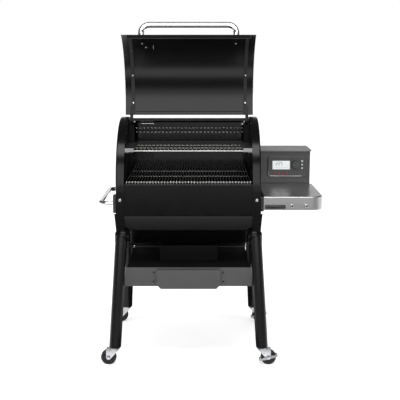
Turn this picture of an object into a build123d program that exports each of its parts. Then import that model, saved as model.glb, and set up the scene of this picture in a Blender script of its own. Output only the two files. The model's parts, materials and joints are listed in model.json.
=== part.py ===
from build123d import *
import os
from math import acos, atan2, cos, degrees, radians, sin, sqrt

# Pellet smoker grill, millimetres. +Z is up, -Y is the front, +X is the right-hand side as the cook sees it.
# The origin is on the floor, under the middle of the whole object's box.
os.makedirs("parts", exist_ok=True)

# ---------------------------------------------------------------- driving dimensions
BARREL_X = -108.0          # middle of the barrel, in X
SHEET = 2.0                # usual sheet-metal thickness
GAP = 0.5                  # small clearance between neighbouring pieces

# barrel, seen from the side as an arch over straight walls
ARCH_Y, ARCH_Z, ARCH_R = 16.0, 843.0, 335.0
FRONT_Y = ARCH_Y - ARCH_R  # front face of the end caps' rims
REAR_Y = 178.0             # rear face of the end caps
LINER_X = 310.0            # inner face of the side liners, from the barrel's middle
CAP_X = 350.0              # outer face of the end caps
RECESS = 6.0               # how far the barrel's skin sits inside the rims
SKIN_R = ARCH_R - RECESS
REAR_WALL_Y = 156.0
PANEL_TOP_Z = 876.5
KNEE_Z = 750.0             # where the front panel starts to curve back
CREASE_Y, CREASE_Z = -294.0, 650.0

# lid, drawn closed and then turned open about its hinge pins
PIVOT_Y, PIVOT_Z = 40.0, 1157.0
LID_OPEN = 108.9           # degrees from closed to the open stop
LID_R = ARCH_R + 2.0       # inside of the lid's skin
LID_X = 332.0
LID_FRONT_Z = 881.0
LID_REAR_Y = 4.0
ARM_X = 299.5              # hinge arm's middle, from the barrel's middle
ARM_W = 16.0
STRAP_X = 291.0
STRAP_W = 17.0
PIN_R = 5.0
RUN = 0.05                 # radial clearance of a running fit
HANDLE_R = 15.0
HANDLE_X = 236.0
HANDLE_Y, HANDLE_Z = -384.0, 915.0
HANDLE_BEND = 42.0

# cooking surfaces
GRATE_Z = 887.0
GRATE_Y0, GRATE_Y1 = -287.0, 152.0
GRATE_PITCH, GRATE_WIRES, WIRE_R = 14.3, 43, 3.0
RACK_Z = 1030.0
RACK_Y0, RACK_Y1 = -241.0, 13.0
HANGER_X = 266.0           # inner edge of the hangers' top flange
RACK_PITCH, RACK_WIRES = 19.2, 31

# stand
LEG_R, LEG_WALL = 29.0, 2.5
LEG_FOOT_Z, LEG_HEAD_Z = 88.0, 648.0
LEG_FOOT_X, LEG_HEAD_X = 358.0, 325.6
FRONT_FOOT_Y, FRONT_HEAD_Y = -389.0, -295.1
REAR_FOOT_Y, REAR_HEAD_Y = 261.0, 145.9
BAR_LOW_Z, BAR_HIGH_Z = 378.0, 474.0
SHIELD_Z = 474.0
SHIELD_Y0, SHIELD_Y1 = -333.0, 226.0
STEM_R = 5.5
WHEEL_R, WHEEL_W = 37.5, 24.0
TRAIL = 32.0

# drawer
DRAWER_X, DRAWER_LOW_Z, DRAWER_HIGH_Z = 154.0, 368.0, 462.0
TRAY_X, TRAY_LOW_Z, TRAY_HIGH_Z = 128.0, 390.0, 448.0
TRAY_BACK_Y = -50.0

# fire side
POT_Y, POT_R = 20.0, 45.0
AUGER_Z, AUGER_TUBE_R = 575.0, 38.0
IGNITER_Z = 527.0

# hopper, behind the barrel
HOPPER_X0, HOPPER_X1 = -330.0, 354.0
HOPPER_Y0, HOPPER_Y1 = 182.0, 406.0
HOPPER_TOP_Z, HOPPER_MID_Z, HOPPER_LOW_Z = 1120.0, 820.0, 545.0

# right-hand side: shelf and controller
SHELF_X0, SHELF_X1 = 366.0, 656.0
SHELF_Y0, SHELF_Y1 = -289.0, 138.0
SHELF_TOP_Z, APRON = 813.0, 66.0
BOX_X0, BOX_X1 = 359.0, 647.0
BOX_Y0, BOX_Y1 = 148.0, 350.0
BOX_Z0, BOX_Z1 = 745.0, 988.0
HOOD_X0, HOOD_X1 = 355.0, 653.0
HOOD_SKIRT, HOOD_CROWN = 3.0, 5.0   # below and above the housing's top
PANEL_X0, PANEL_X1 = 419.0, 630.0
PANEL_Z0, PANEL_Z1 = 847.0, 958.0
PANEL_Y = 142.0            # front face of the control panel
DIAL_X, DIAL_Z, DIAL_R = 568.0, 914.0, 22.0
BUTTON_X, BUTTON_ZS = 603.0, (932.0, 913.0, 894.0)
LENS_X, LENS_Z, LENS_W, LENS_H = 491.5, 910.5, 93.0, 46.0
JACK_XS, JACK_Z, JACK_R = (459.0, 480.0, 501.0, 522.0), 865.0, 2.5

# left-hand side handle
GRIP_R, GRIP_Z, GRIP_OUT_X = 11.5, 780.0, 428.5
GRIP_Y0, GRIP_Y1 = -284.0, 146.0


# ---------------------------------------------------------------- helpers
def side(x):
    """Side-view plane at x from the barrel's middle: local x is +Y, local y is +Z."""
    return Plane.YZ.offset(BARREL_X + x)


def front_view(y):
    """Plane that faces the front at y: local x is +X, local y is +Z, extrusion goes forwards."""
    return Plane.XZ.offset(-y)


def at(x, y, z):
    """Point given with x from the barrel's middle."""
    return (BARREL_X + x, y, z)


def export(part, name):
    """Label one finished piece and write it."""
    part.label = name
    export_step(part, f"parts/{name}.step")


def box(x0, x1, y0, y1, z0, z1, mode=Mode.ADD):
    """Box between two corners, x from the barrel's middle; used inside a BuildPart block."""
    with Locations(at((x0 + x1) / 2, (y0 + y1) / 2, (z0 + z1) / 2)):
        Box(x1 - x0, y1 - y0, z1 - z0, mode=mode)


def rod(start, end, radius, mode=Mode.ADD):
    """Round bar between two points, x from the barrel's middle."""
    a = Vector(*at(*start))
    b = Vector(*at(*end))
    with Locations(Plane(origin=(a + b) / 2, z_dir=b - a)):
        Cylinder(radius, (b - a).length, mode=mode)


def arch_z(y, radius=ARCH_R):
    """Height of the arch of that radius above the point y."""
    return ARCH_Z + sqrt(radius**2 - (y - ARCH_Y) ** 2)


def mirrored(part):
    """The same piece for the barrel's other side."""
    return mirror(part, about=Plane.YZ.offset(BARREL_X), mode=Mode.PRIVATE)


def on_lid(part):
    """Turn a piece drawn on the closed lid to the open lid."""
    return part.rotate(Axis((0, PIVOT_Y, PIVOT_Z), (1, 0, 0)), -LID_OPEN)


def end_outline(inset=0.0):
    """Side outline of an end cap: arch, straight back, funnel-shaped bottom."""
    with BuildSketch() as outline:
        with BuildLine():
            top = ThreePointArc(
                (FRONT_Y, ARCH_Z),
                (ARCH_Y - ARCH_R * cos(radians(60)), ARCH_Z + ARCH_R * sin(radians(60))),
                (REAR_Y, arch_z(REAR_Y)),
            )
            Polyline(top @ 1, (REAR_Y, 640), (90, 496), (-30, 496), (-236, 582), (-300, 640))
            Line((-300, 640), (FRONT_Y, KNEE_Z))
            Line((FRONT_Y, KNEE_Z), top @ 0)
        make_face()
        if inset:
            offset(amount=-inset, kind=Kind.INTERSECTION, mode=Mode.REPLACE)
    return outline.sketch


# ---------------------------------------------------------------- barrel
CAP_WALL = 3.5

with BuildPart() as end_cap_left:
    with BuildSketch(side(-CAP_X)):
        add(end_outline())
    extrude(amount=CAP_X - LINER_X)
    rounded = end_cap_left.edges().group_by(Axis.X)[0]
    fillet(rounded, radius=7)
    with BuildSketch(side(-CAP_X + CAP_WALL)):
        add(end_outline(CAP_WALL))
    extrude(amount=CAP_X - LINER_X, mode=Mode.SUBTRACT)

with BuildPart() as liner_left:
    with BuildSketch(side(-LINER_X - SHEET)):
        add(end_outline(CAP_WALL))
    extrude(amount=SHEET)

export(end_cap_left.part, "end_cap_left")
export(mirrored(end_cap_left.part), "end_cap_right")
export(Compound([liner_left.part, mirrored(liner_left.part)]), "end_liners")

with BuildPart() as front_panel:
    with BuildSketch(side(-LINER_X)):
        with BuildLine():
            FilletPolyline(
                (-275, PANEL_TOP_Z - SHEET / 2),
                (FRONT_Y + RECESS + SHEET / 2, PANEL_TOP_Z - SHEET / 2),
                (FRONT_Y + RECESS + SHEET / 2, KNEE_Z - 30),
                (CREASE_Y, CREASE_Z),
                radius=(3, 70),
            )
        trace(line_width=SHEET)
    extrude(amount=2 * LINER_X)

with BuildPart() as funnel_floor:
    with BuildSketch(side(-LINER_X)):
        with BuildLine():
            FilletPolyline(
                (CREASE_Y + 1.5, CREASE_Z - 3),
                (-204, 567),
                (-24, 510),
                (76, 510),
                (REAR_WALL_Y + 1, 641),
                radius=15,
            )
        trace(line_width=SHEET)
    extrude(amount=2 * LINER_X)
    with Locations(at(0, 110, AUGER_Z)):
        Cylinder(AUGER_TUBE_R + GAP, 200, rotation=(90, 0, 0), mode=Mode.SUBTRACT)
    box(-60, 60, -150, -95, 480, 600, mode=Mode.SUBTRACT)
    with Locations(at(0, 90, IGNITER_Z)):
        Cylinder(7, 60, rotation=(90, 0, 0), mode=Mode.SUBTRACT)

COVER_X = 288.0
COVER_FRONT_Y = -4.0
VENT_PITCH, VENTS, VENT_W, VENT_H, VENT_Z = 20.2, 29, 11.0, 21.0, 1097.5
COVER_HEM = 12.0

with BuildPart() as rear_shell:
    with BuildSketch(side(-COVER_X)) as cover:
        with BuildLine():
            a0 = degrees(acos((COVER_FRONT_Y - ARCH_Y) / (SKIN_R - 1)))
            a1 = degrees(acos((REAR_Y - 2 - ARCH_Y) / (SKIN_R - 1)))
            skin = CenterArc((ARCH_Y, ARCH_Z), SKIN_R - 1, a1, a0 - a1)
            Line(skin @ 1, skin @ 1 - Vector(0, COVER_HEM))
        trace(line_width=SHEET)
    extrude(amount=2 * COVER_X)
    wall_top = arch_z(REAR_WALL_Y, SKIN_R) - 2
    box(-LINER_X, LINER_X, REAR_WALL_Y, REAR_WALL_Y + SHEET, 643, wall_top)
    with BuildSketch(Plane.XZ.offset(-REAR_WALL_Y - 10)):
        with Locations((BARREL_X, VENT_Z)):
            with GridLocations(VENT_PITCH, 1, VENTS, 1):
                SlotOverall(VENT_H, VENT_W, rotation=90)
    extrude(amount=20, mode=Mode.SUBTRACT)

export(front_panel.part, "front_panel")
export(funnel_floor.part, "funnel_floor")
export(rear_shell.part, "rear_shell")


# ---------------------------------------------------------------- lid
def lid_angle(y=None, z=None, radius=LID_R + SHEET / 2):
    """Angle on the lid's arc, in degrees, of the point at that y on top or that z in front."""
    if z is None:
        return degrees(acos((y - ARCH_Y) / radius))
    return 180 - degrees(acos(sqrt(radius**2 - (z - ARCH_Z) ** 2) / radius))


def lid_seat(x, angle, radius):
    """Plane on the closed lid's inside at an arc angle, looking inwards."""
    c, s = cos(radians(angle)), sin(radians(angle))
    return Plane(origin=at(x, ARCH_Y + radius * c, ARCH_Z + radius * s), z_dir=(0, -c, -s))


REAR_ANGLE = lid_angle(y=LID_REAR_Y)
FRONT_ANGLE = lid_angle(z=LID_FRONT_Z)
LIP_DEPTH = 20.0
LIP_X = 306.0
FLANGE_ARC = 2.8           # degrees of the doubled rear edge
BLOCK_X0, BLOCK_X1, BLOCK_ARC = 283.0, 308.5, 6.0
BLOCK_R0, BLOCK_R1 = 330.5, LID_R - 0.3
STRAP_T = 3.0
STRAP_R = LID_R - STRAP_T

with BuildPart() as lid_shell:
    with BuildSketch(side(-LID_X)):
        with BuildLine():
            skin = CenterArc((ARCH_Y, ARCH_Z), LID_R + SHEET / 2, REAR_ANGLE, FRONT_ANGLE - REAR_ANGLE)
        trace(line_width=SHEET)
    extrude(amount=2 * LID_X)
    with BuildSketch(side(-LIP_X)):
        with BuildLine():
            Line(skin @ 1, skin @ 1 + Vector(LIP_DEPTH, 0))
        trace(line_width=SHEET)
    extrude(amount=2 * LIP_X)
    for x0, x1 in ((-LID_X + 2, -BLOCK_X1 - 1), (-BLOCK_X0 + 3, BLOCK_X0 - 3), (BLOCK_X1 + 1, LID_X - 2)):
        with BuildSketch(side(x0)):
            with BuildLine():
                CenterArc((ARCH_Y, ARCH_Z), LID_R - 0.4, REAR_ANGLE, FLANGE_ARC)
            trace(line_width=2.4)
        extrude(amount=x1 - x0)

with BuildPart() as lid_arm:
    with BuildSketch(side(-STRAP_X - STRAP_W / 2)):
        with BuildLine():
            CenterArc((ARCH_Y, ARCH_Z), STRAP_R + STRAP_T / 2, REAR_ANGLE + 1, 77)
        trace(line_width=STRAP_T)
    extrude(amount=STRAP_W)
    with BuildSketch(side(-ARM_X - ARM_W / 2)):
        with BuildLine():
            bend = CenterArc((ARCH_Y, ARCH_Z), STRAP_R, REAR_ANGLE, 6)
            Line(bend @ 0, (PIVOT_Y, PIVOT_Z))
        trace(line_width=6)
        with Locations((PIVOT_Y, PIVOT_Z)):
            Circle(11)
            Circle(PIN_R + RUN, mode=Mode.SUBTRACT)
    extrude(amount=ARM_W)
    with BuildSketch(side(-BLOCK_X1)):
        with BuildLine():
            CenterArc((ARCH_Y, ARCH_Z), (BLOCK_R0 + BLOCK_R1) / 2, REAR_ANGLE + 0.6, BLOCK_ARC)
        trace(line_width=BLOCK_R1 - BLOCK_R0)
    extrude(amount=BLOCK_X1 - BLOCK_X0)
    block_x = -(BLOCK_X0 + BLOCK_X1) / 2
    with Locations(lid_seat(block_x, REAR_ANGLE + 0.6 + BLOCK_ARC, (BLOCK_R0 + BLOCK_R1) / 2)):
        Cylinder((BLOCK_X1 - BLOCK_X0) / 2, BLOCK_R1 - BLOCK_R0)

STRAP_SCREWS = (102.8, 127.5, 152.4)

with BuildPart() as lid_screws:
    for x in (-STRAP_X, STRAP_X):
        for angle in STRAP_SCREWS:
            with BuildSketch(lid_seat(x, angle, STRAP_R - 0.15)):
                Circle(3.5)
            extrude(amount=2.5)
    for x in (-HANDLE_X, HANDLE_X):
        with BuildSketch(lid_seat(x, 180 - degrees(atan2(HANDLE_Z - ARCH_Z, LID_R)), LID_R - 0.3)):
            Circle(8)
        extrude(amount=4)

with BuildPart() as lid_handle:
    with BuildLine() as handle_path:
        FilletPolyline(
            at(-HANDLE_X, FRONT_Y - 1, HANDLE_Z),
            at(-HANDLE_X, HANDLE_Y, HANDLE_Z),
            at(HANDLE_X, HANDLE_Y, HANDLE_Z),
            at(HANDLE_X, FRONT_Y - 1, HANDLE_Z),
            radius=HANDLE_BEND,
        )
    with BuildSketch(Plane(origin=handle_path.line @ 0, z_dir=handle_path.line % 0)):
        Circle(HANDLE_R)
        Circle(HANDLE_R - SHEET, mode=Mode.SUBTRACT)
    sweep(path=handle_path.line)
    with Locations(at(-HANDLE_X, FRONT_Y + 1, HANDLE_Z), at(HANDLE_X, FRONT_Y + 1, HANDLE_Z)):
        Cylinder(20, 16, rotation=(90, 0, 0))
        Cylinder(HANDLE_R - SHEET, 16.2, rotation=(90, 0, 0), mode=Mode.SUBTRACT)
    with Locations(at(0, ARCH_Y, ARCH_Z)):
        Cylinder(LID_R + SHEET + 0.1, 2 * LID_X, rotation=(0, 90, 0), mode=Mode.SUBTRACT)

export(on_lid(lid_shell.part), "lid_shell")
export(Compound([on_lid(lid_arm.part), on_lid(mirrored(lid_arm.part))]), "lid_arms")
export(on_lid(lid_screws.part), "lid_screws")
export(on_lid(lid_handle.part), "lid_handle")

CHEEK_IN, CHEEK_OUT = ARM_X - ARM_W / 2 - GAP, ARM_X + ARM_W / 2 + GAP

with BuildPart() as hinge_bracket:
    for x0, x1 in ((-LINER_X + 0.1, -CHEEK_OUT), (-CHEEK_IN, -CHEEK_IN + 2.5)):
        with BuildSketch(side(x0)):
            with Locations((PIVOT_Y, PIVOT_Z)):
                Circle(10)
            with Locations((PIVOT_Y, (PIVOT_Z + 1045) / 2)):
                Rectangle(20, PIVOT_Z - 1045)
        extrude(amount=x1 - x0)
    box(-LINER_X + 0.1, -283, PIVOT_Y - 14, PIVOT_Y - 9.5, 1045, 1136)
    box(-LINER_X + 0.1, -283, PIVOT_Y - 14, PIVOT_Y + 20, 1045, 1049)
    rod((-LINER_X + 0.1, PIVOT_Y, PIVOT_Z), (-CHEEK_IN + 4, PIVOT_Y, PIVOT_Z), PIN_R)

export(Compound([hinge_bracket.part, mirrored(hinge_bracket.part)]), "hinge_brackets")

# ---------------------------------------------------------------- cooking surfaces
BAR_Z = GRATE_Z - 5.4      # cross bars, welded under the wires
GRATE_BARS = (-274.0, -77.5, 108.0)

with BuildPart() as main_grate:
    with BuildLine() as wire_path:
        FilletPolyline(
            at(0, GRATE_Y0, PANEL_TOP_Z + 1),
            at(0, GRATE_Y0, GRATE_Z),
            at(0, GRATE_Y1, GRATE_Z),
            radius=5,
        )
    with BuildPart(mode=Mode.PRIVATE) as wire:
        with BuildSketch(Plane.XY.offset(PANEL_TOP_Z + 1)):
            with Locations((BARREL_X, GRATE_Y0)):
                Circle(WIRE_R)
        sweep(path=wire_path.line)
    with GridLocations(GRATE_PITCH, 1, GRATE_WIRES, 1):
        add(wire.part)
    for y in GRATE_BARS:
        rod((-304, y, BAR_Z), (304, y, BAR_Z), WIRE_R)

with BuildPart() as warming_rack:
    for i in range(RACK_WIRES):
        x = (i - (RACK_WIRES - 1) / 2) * RACK_PITCH
        rod((x, RACK_Y0 - 3, RACK_Z + 5), (x, RACK_Y1 + 3, RACK_Z + 5), 2)
    for y in (RACK_Y0, (RACK_Y0 + RACK_Y1) / 2, RACK_Y1):
        rod((-304, y, RACK_Z), (304, y, RACK_Z), 3.5)
    for x in (-303, 303):
        rod((x, RACK_Y0 - 4, RACK_Z + 0.4), (x, RACK_Y1 + 7, RACK_Z + 0.4), 4)

with BuildPart() as rack_hanger:
    box(-LINER_X, -LINER_X + 1.5, -247, 21, 1021, 1044)
    box(-LINER_X, -HANGER_X, -247, 21, 1042.5, 1044)
    box(-LINER_X, -HANGER_X, -248, -246.5, 1026, 1044)
    box(-LINER_X, -290, -240, 21, 1021, 1022.5)
    box(-LINER_X, -290, 22, 23.5, 1021, 1028)
    box(-LINER_X, -290, 20, 23.5, 1021, 1022.5)

with BuildPart() as heat_baffles:
    for x, half, rise in ((-192, 32, 12), (0, 125, 34), (192, 32, 12)):
        with BuildSketch(Plane.XZ.offset(308)):
            with BuildLine():
                Polyline((BARREL_X + x - half, 784), (BARREL_X + x, 784 + rise), (BARREL_X + x + half, 784))
            trace(line_width=SHEET)
        extrude(amount=-462)

with BuildPart() as temperature_probe:
    box(-269, -195, 140, REAR_WALL_Y - 0.1, 944, 976)
    box(-267, -193, 142, REAR_WALL_Y, 940, 974, mode=Mode.SUBTRACT)
    rod((-232, REAR_WALL_Y - 0.1, 985), (-232, 100, 985), 3)
    rod((-232, REAR_WALL_Y - 0.1, 985), (-232, 150, 985), 7)
    box(-238, -226, 152, REAR_WALL_Y - 0.1, 974, 985)

export(main_grate.part, "main_grate")
export(warming_rack.part, "warming_rack")
export(Compound([rack_hanger.part, mirrored(rack_hanger.part)]), "rack_hangers")
export(heat_baffles.part, "heat_baffles")
export(temperature_probe.part, "temperature_probe")


# ---------------------------------------------------------------- stand
LEG_SPAN = LEG_HEAD_Z - LEG_FOOT_Z
LEG_TOP_Z = 634.0          # where the tube ends inside its socket
SOCKET_X, SOCKET_R = 321.5, 38.0
SOCKET_Z0, SOCKET_Z1 = 590.0, 654.0
MOUTH_Z, MOUTH_R = 595.0, 33.0
PLATE_TOP_Z = 821.0
PLATE_T = 2.5
STEM_DEPTH = 26.0
WING_OUT, WING_DEPTH = 8.0, 44.0


def leg_x(z):
    """Distance of a leg's middle line from the barrel's middle."""
    return LEG_FOOT_X + (LEG_HEAD_X - LEG_FOOT_X) * (z - LEG_FOOT_Z) / LEG_SPAN


def leg_y(z, foot, head):
    """Y of a leg's middle line."""
    return foot + (head - foot) * (z - LEG_FOOT_Z) / LEG_SPAN


def under_cap(front):
    """Solid above a leg: everything the end cap's sloping bottom reaches, 2 mm clear of it."""
    if front:
        corners = [(-420, 746), (-300, 637.6), (-236, 579), (-100, 520), (-100, 760)]
    else:
        corners = [(60, 490), (92, 494), (180.8, 639), (180.8, 760), (60, 760)]
    with BuildPart() as zone:
        with BuildSketch(side(-380)):
            with BuildLine():
                Polyline(*corners, close=True)
            make_face()
        extrude(amount=100)
    return zone.part


def leg_solid(foot_y, head_y, radius, z0, z1):
    """Round bar along the left leg's middle line."""
    with BuildPart() as bar:
        rod((-leg_x(z0), leg_y(z0, foot_y, head_y), z0), (-leg_x(z1), leg_y(z1, foot_y, head_y), z1), radius)
    return bar.part


def leg(foot_y, head_y, front):
    """Left leg: a tube with a closed foot that takes the caster's stem."""
    with BuildPart() as tube:
        add(leg_solid(foot_y, head_y, LEG_R, LEG_FOOT_Z - 20, LEG_TOP_Z))
        add(leg_solid(foot_y, head_y, LEG_R - LEG_WALL, LEG_FOOT_Z + 32, LEG_HEAD_Z + 20), mode=Mode.SUBTRACT)
        box(-500, 0, foot_y - 100, foot_y + 100, 0, LEG_FOOT_Z, mode=Mode.SUBTRACT)
        add(under_cap(front), mode=Mode.SUBTRACT)
        with Locations(at(-LEG_FOOT_X, foot_y, LEG_FOOT_Z + STEM_DEPTH / 2)):
            Cylinder(STEM_R + RUN, STEM_DEPTH, mode=Mode.SUBTRACT)
    return tube.part


def side_wing(rim, inward):
    """Tapering wing of a leg bracket, on the outside of the left end cap."""
    with BuildPart() as wing:
        with BuildSketch(front_view(rim - inward * PLATE_T)):
            with BuildLine():
                Polyline(
                    *[(BARREL_X - CAP_X - dx, z) for dx, z in ((0.5, 652), (WING_OUT, 734), (0.5, 734))],
                    close=True,
                )
            make_face()
        extrude(amount=-inward * WING_DEPTH)
    return wing.part


def leg_bracket(foot_y, head_y, front):
    """Left bracket: a plate on the cap's rim that ends in the leg's hooded socket."""
    outward = -1 if front else 1
    rim = FRONT_Y if front else REAR_Y
    y = leg_y(625, foot_y, head_y)
    with BuildPart() as bracket:
        with Locations(at(-SOCKET_X, y, (SOCKET_Z0 + SOCKET_Z1) / 2)):
            Cylinder(SOCKET_R, SOCKET_Z1 - SOCKET_Z0)
        fillet(bracket.edges().group_by(Axis.Z)[-1], radius=28)
        with Locations(at(-SOCKET_X, y + 50 * outward, MOUTH_Z)):
            Cylinder(MOUTH_R, 100, rotation=(90, 0, 0), mode=Mode.SUBTRACT)
        mouth = sorted((y + outward, y + 60 * outward))
        box(-SOCKET_X - MOUTH_R, -SOCKET_X + MOUTH_R, *mouth, 560, MOUTH_Z, mode=Mode.SUBTRACT)
        plate = sorted((rim, rim + outward * PLATE_T))
        box(-CAP_X - 0.5, -LINER_X - 1, plate[0], plate[1], 640, PLATE_TOP_Z)
        add(side_wing(rim, -outward))
        add(leg_solid(foot_y, head_y, LEG_R + 0.1, 520, LEG_TOP_Z + 2), mode=Mode.SUBTRACT)
        if front:
            with BuildSketch(side(-380)):
                with BuildLine():
                    Polyline(
                        (FRONT_Y - 0.01, 880), (FRONT_Y - 0.01, KNEE_Z), (-300.05, 639.9), (-236, 579), (-100, 520),
                        (-100, 880), close=True,
                    )
                make_face()
            extrude(amount=100, mode=Mode.SUBTRACT)
        else:
            with BuildSketch(side(-380)):
                with BuildLine():
                    Polyline((60, 490), (92, 494), (REAR_Y, 638), (REAR_Y, 880), (60, 880), close=True)
                make_face()
            extrude(amount=100, mode=Mode.SUBTRACT)
    return bracket.part


FRONT_LEG = (FRONT_FOOT_Y, FRONT_HEAD_Y, True)
REAR_LEG = (REAR_FOOT_Y, REAR_HEAD_Y, False)
front_leg, rear_leg = leg(*FRONT_LEG), leg(*REAR_LEG)
front_bracket, rear_bracket = leg_bracket(*FRONT_LEG), leg_bracket(*REAR_LEG)

export(Compound([front_leg, mirrored(front_leg)]), "front_legs")
export(Compound([rear_leg, mirrored(rear_leg)]), "rear_legs")
export(
    Compound([front_bracket, rear_bracket, mirrored(front_bracket), mirrored(rear_bracket)]),
    "leg_brackets",
)

BAR_DEPTH = 20.0
BAR_FRONT_Y = -336.0
REAR_BAR_Y = leg_y(426, REAR_FOOT_Y, REAR_HEAD_Y) + 4


def crossbar(face_y, inward):
    """C-shaped bar between two legs, wider at the bottom; its flanges point inward."""
    with BuildPart() as bar:
        with BuildSketch(Plane.XZ.offset(-face_y)):
            with BuildLine():
                Polyline(
                    at(-305, BAR_HIGH_Z - 2.2, 0)[:2], at(305, BAR_HIGH_Z - 2.2, 0)[:2],
                    at(310, BAR_LOW_Z, 0)[:2], at(-310, BAR_LOW_Z, 0)[:2], close=True,
                )
            make_face()
        extrude(amount=-BAR_DEPTH * inward)
        y0, y1 = sorted((face_y + SHEET * inward, face_y + (BAR_DEPTH + 1) * inward))
        box(-320, 320, y0, y1, BAR_LOW_Z + SHEET, BAR_HIGH_Z - 2.2 - SHEET, mode=Mode.SUBTRACT)
    return bar.part


with BuildPart() as front_crossbar:
    add(crossbar(BAR_FRONT_Y, 1))
    box(-TRAY_X - 8, TRAY_X + 8, -340, -300, 382, 456, mode=Mode.SUBTRACT)

RAIL_X = TRAY_X + 3

with BuildPart() as bottom_shield:
    box(-298, 298, SHIELD_Y0, SHIELD_Y1, SHIELD_Z - SHEET, SHIELD_Z)
    box(-145, 145, -206, -60, SHIELD_Z - 1, 551)
    box(-143, 143, -204, -62, SHIELD_Z - 10, 560, mode=Mode.SUBTRACT)
    with BuildSketch(side(-150)):
        with BuildLine():
            Polyline((-220, 566), (-204, 561), (-24, 504), (-24, 620), (-220, 620), close=True)
        make_face()
    extrude(amount=300, mode=Mode.SUBTRACT)
    for x0 in (-RAIL_X - SHEET, RAIL_X):
        box(x0, x0 + SHEET, BAR_FRONT_Y + BAR_DEPTH + 2, -40, TRAY_LOW_Z - 2.5, SHIELD_Z - 1)
    for x0, x1 in ((-RAIL_X - 1, -TRAY_X + 12), (TRAY_X - 12, RAIL_X + 1)):
        box(x0, x1, BAR_FRONT_Y + BAR_DEPTH + 2, -40, TRAY_LOW_Z - 2.5, TRAY_LOW_Z - 0.5)

export(front_crossbar.part, "front_crossbar")
export(crossbar(REAR_BAR_Y + 12, -1), "rear_crossbar")
export(bottom_shield.part, "bottom_shield")

# ---------------------------------------------------------------- drawer
FACE_BACK_Y = BAR_FRONT_Y - 1.0
FACE_FRONT_Y = FACE_BACK_Y - 14.0
CORNER = 19.0

with BuildPart() as drawer_face:
    for inset, y0, mode in ((0, FACE_FRONT_Y, Mode.ADD), (SHEET, FACE_FRONT_Y + SHEET, Mode.SUBTRACT)):
        x, z0, z1, c = DRAWER_X - inset, DRAWER_LOW_Z + inset, DRAWER_HIGH_Z - inset, CORNER
        with BuildSketch(Plane.XZ.offset(-y0)):
            with BuildLine():
                Polyline(
                    *[(BARREL_X + px, pz) for px, pz in (
                        (-x, z1), (x, z1), (x, z0 + c), (x - c, z0), (c - x, z0), (-x, z0 + c),
                    )],
                    close=True,
                )
            make_face()
        extrude(amount=-(FACE_BACK_Y - y0), mode=mode)

with BuildPart() as drawer_tray:
    box(-TRAY_X, TRAY_X, FACE_FRONT_Y + SHEET, TRAY_BACK_Y, TRAY_LOW_Z, TRAY_HIGH_Z)
    box(-TRAY_X + 1.5, TRAY_X - 1.5, FACE_FRONT_Y + SHEET + 1.5, TRAY_BACK_Y - 1.5,
        TRAY_LOW_Z + 1.5, TRAY_HIGH_Z + 9, mode=Mode.SUBTRACT)

export(drawer_face.part, "drawer_face")
export(drawer_tray.part, "drawer_tray")

# ---------------------------------------------------------------- casters
PLATE_Z = 81.0             # underside of the fork's top plate
FORK_Y = WHEEL_W / 2 + 2.0
AXLE_R = 4.0
PEDAL_Y = FORK_Y + SHEET + GAP
FORK_SHIFT, FORK_TOP_W = 12.0, 62.0
PEDAL_TABS = ((42.0, 9.0), (-42.0, -14.0))   # ahead of and above the axle


def caster_fork(x, y, out):
    """Swivel fork with its stem and axle; out is the side the wheel trails to."""
    axle_x = x + out * TRAIL
    with BuildPart() as fork:
        with Locations(at(x, y, PLATE_Z + 1.5)):
            Cylinder(24, 3)
        with Locations(at(x, y, PLATE_Z + 4)):
            Cylinder(17, 3)
        with Locations(at(x, y, (PLATE_Z + LEG_FOOT_Z + STEM_DEPTH - 1) / 2)):
            Cylinder(STEM_R, LEG_FOOT_Z + STEM_DEPTH - 1 - PLATE_Z)
        for y0 in (y - FORK_Y - SHEET, y + FORK_Y):
            with BuildSketch(Plane.XZ.offset(-y0)):
                with Locations((BARREL_X + axle_x, WHEEL_R)):
                    Circle(11)
                with Locations((BARREL_X + x + out * FORK_SHIFT, PLATE_Z - 2)):
                    Rectangle(FORK_TOP_W, 5)
                make_hull()
            extrude(amount=-SHEET)
        top_x = x + out * FORK_SHIFT
        box(top_x - FORK_TOP_W / 2, top_x + FORK_TOP_W / 2, y - FORK_Y - SHEET, y + FORK_Y + SHEET,
            PLATE_Z - 2, PLATE_Z + 0.5)
        rod((axle_x, y - PEDAL_Y - 5, WHEEL_R), (axle_x, y + PEDAL_Y + 5, WHEEL_R), AXLE_R)
    return fork.part


def caster_wheel(x, y, out):
    """Wheel with a rounded tread and dished sides, bored for its axle."""
    with BuildPart() as wheel:
        with Locations(at(x + out * TRAIL, y, WHEEL_R)):
            Cylinder(WHEEL_R, WHEEL_W, rotation=(90, 0, 0))
            fillet(wheel.edges(), radius=4)
            for side_y in (-WHEEL_W / 2 + 1, WHEEL_W / 2 - 1):
                with Locations((0, side_y, 0)):
                    Cylinder(27, 6, rotation=(90, 0, 0), mode=Mode.SUBTRACT)
            Cylinder(11, WHEEL_W + 2, rotation=(90, 0, 0))
            Cylinder(AXLE_R + RUN, WHEEL_W + 10, rotation=(90, 0, 0), mode=Mode.SUBTRACT)
    return wheel.part


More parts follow.
